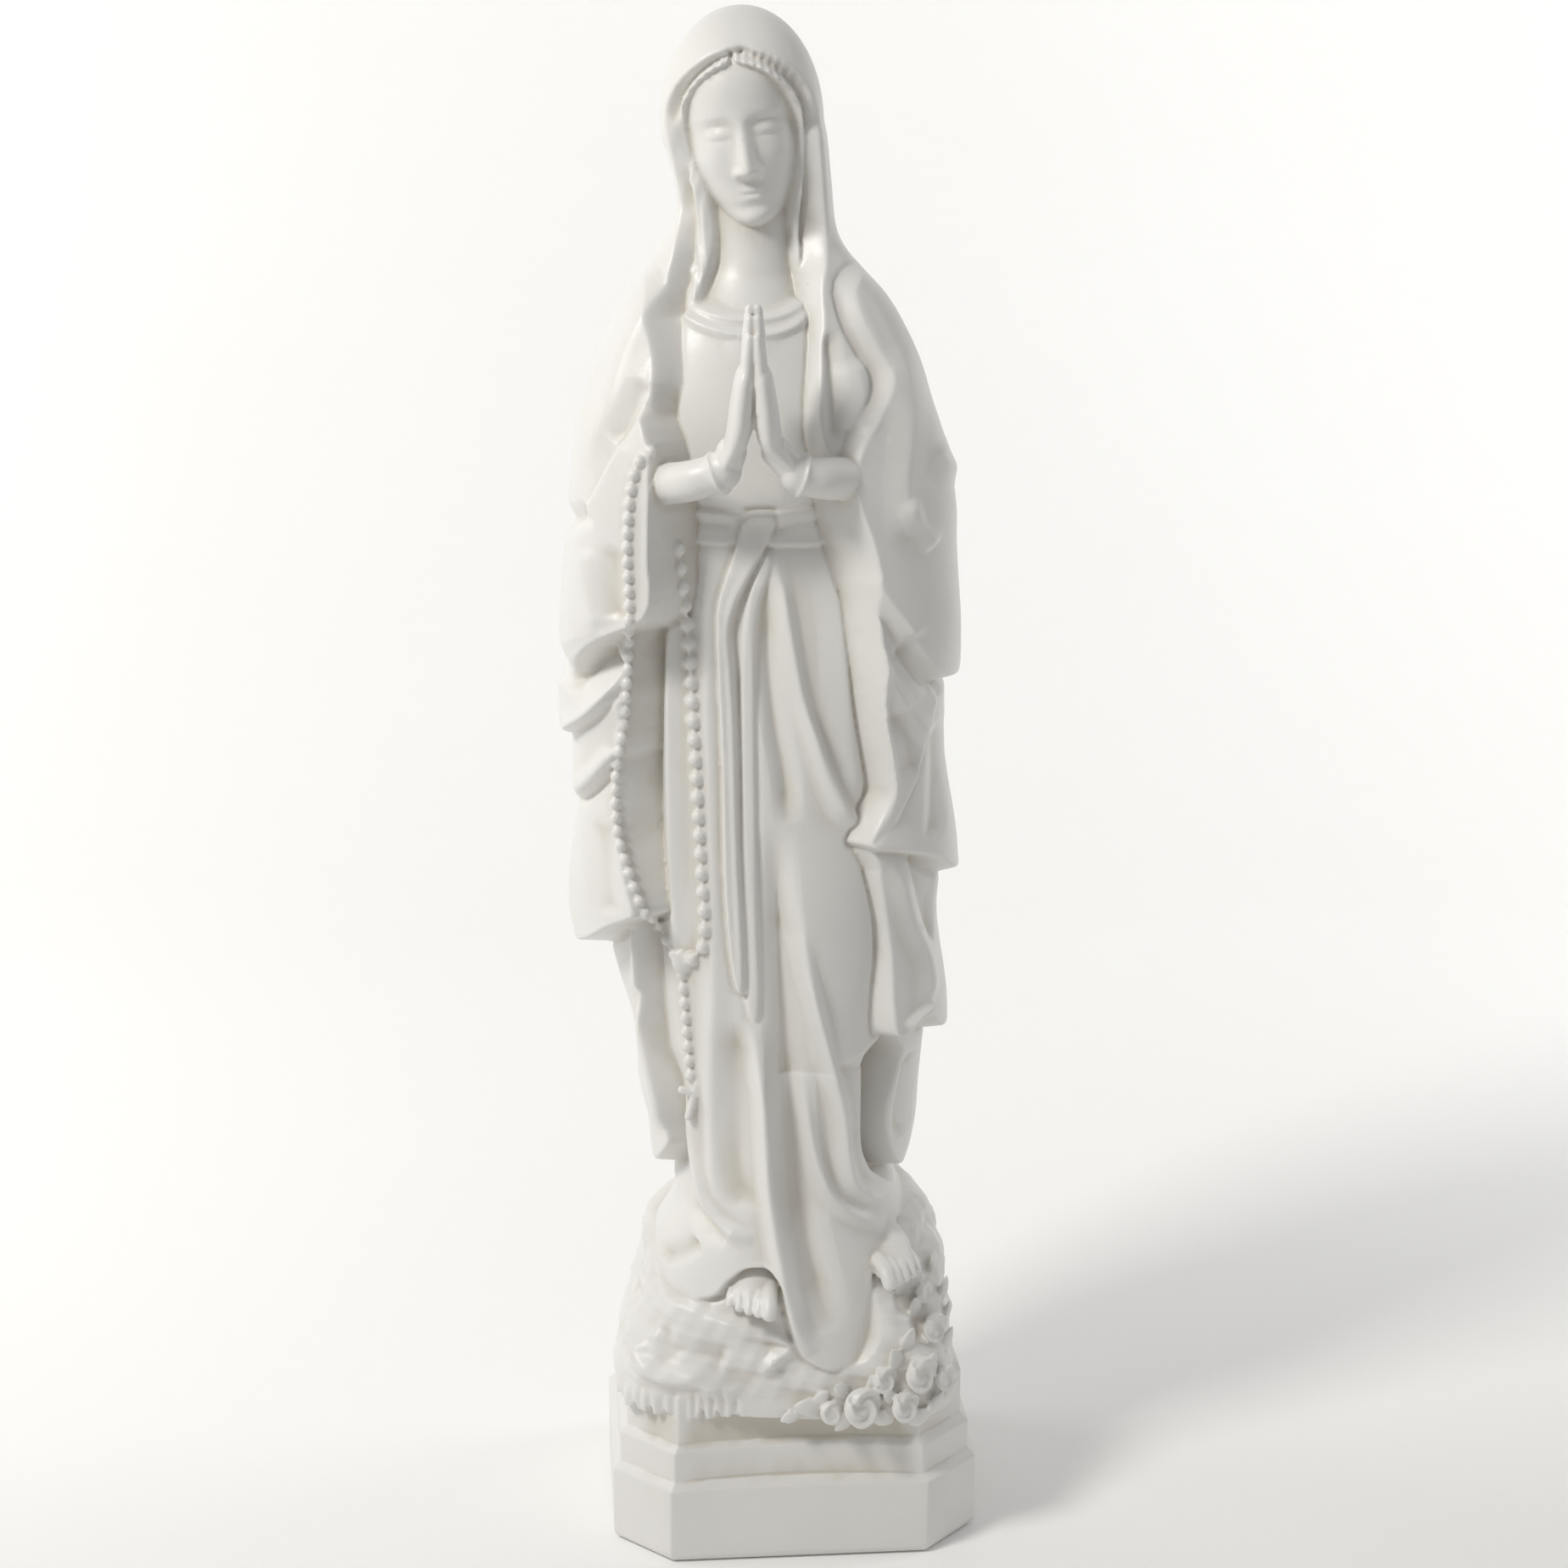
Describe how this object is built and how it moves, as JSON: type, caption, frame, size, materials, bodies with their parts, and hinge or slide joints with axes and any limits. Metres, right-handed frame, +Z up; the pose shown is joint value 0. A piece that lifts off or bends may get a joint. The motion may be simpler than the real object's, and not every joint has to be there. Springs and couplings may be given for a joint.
{
  "type": "virgin mary statue",
  "caption": "Standing veiled woman with praying hands and a rosary, on rocky ground with roses and a stepped plinth, cast in one piece.",
  "frame": {"origin": "centre of the plinth's underside", "axes": "+Z up, the plinth's front faces -Y, and +X is to the right of someone who looks at the front"},
  "size_m": [0.1632, 0.1386, 0.6],
  "materials": {
    "white_plaster": "white painted cast plaster with a soft satin sheen"
  },
  "bodies": {
    "root": {"statue": "white_plaster"}
  },
  "joints": []
}
